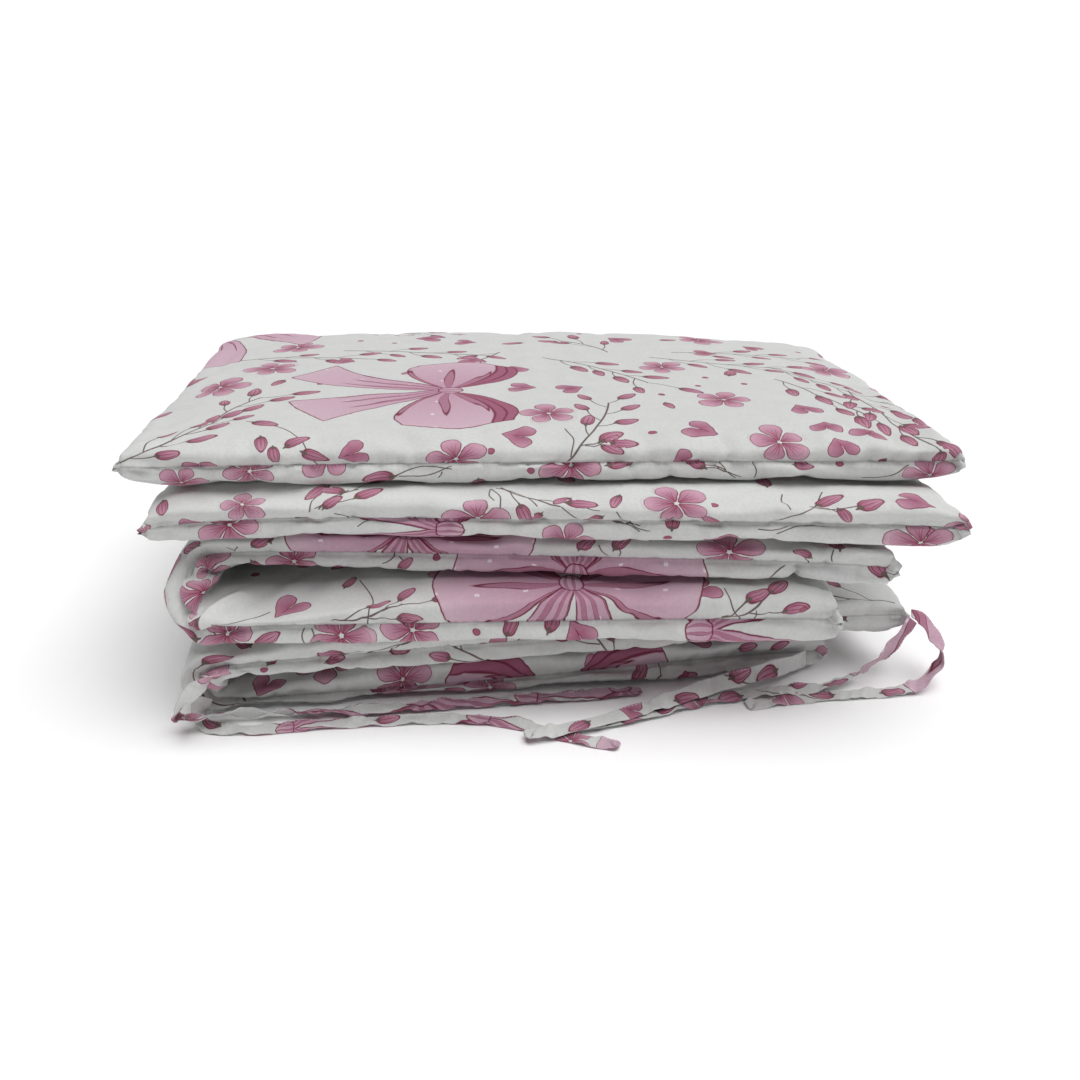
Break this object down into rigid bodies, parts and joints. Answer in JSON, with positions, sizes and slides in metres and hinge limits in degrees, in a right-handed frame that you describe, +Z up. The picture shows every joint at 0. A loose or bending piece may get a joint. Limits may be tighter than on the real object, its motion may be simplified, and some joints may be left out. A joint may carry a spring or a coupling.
{
  "type": "crib bumper",
  "caption": "Quilted cot bumper put away as a stack: short pads lie flat on long pads folded in half, off-white cotton with a rose print, narrow cloth ties hanging from the lowest pad.",
  "frame": {"origin": "on the surface that the stack rests on, under the middle of its outline", "axes": "+X along the stack with the folds at its -X end, -Y towards the front where the ties lie, +Z up"},
  "size_m": [0.6224, 0.4806, 0.2086],
  "materials": {
    "short_pad_top_cotton": "matt woven cotton, off-white with a printed pattern in dusty rose",
    "short_pad_second_cotton": "matt woven cotton, off-white with a printed pattern in dusty rose",
    "long_pad_upper_cotton": "matt woven cotton, off-white with a printed pattern in dusty rose",
    "long_pad_lower_cotton": "matt woven cotton, off-white with a printed pattern in dusty rose",
    "tie_end_high_a_cotton": "matt woven cotton, off-white with a printed pattern in dusty rose",
    "tie_end_high_b_cotton": "matt woven cotton, off-white with a printed pattern in dusty rose",
    "tie_end_low_cotton": "matt woven cotton, off-white with a printed pattern in dusty rose",
    "tie_fold_a_cotton": "matt woven cotton, off-white with a printed pattern in dusty rose",
    "tie_fold_b_cotton": "matt woven cotton, off-white with a printed pattern in dusty rose"
  },
  "bodies": {
    "root": {"short_pad_top": "short_pad_top_cotton", "short_pad_second": "short_pad_second_cotton", "long_pad_upper": "long_pad_upper_cotton", "long_pad_lower": "long_pad_lower_cotton", "tie_end_high_a": "tie_end_high_a_cotton", "tie_end_high_b": "tie_end_high_b_cotton", "tie_end_low": "tie_end_low_cotton", "tie_fold_a": "tie_fold_a_cotton", "tie_fold_b": "tie_fold_b_cotton"}
  },
  "joints": []
}
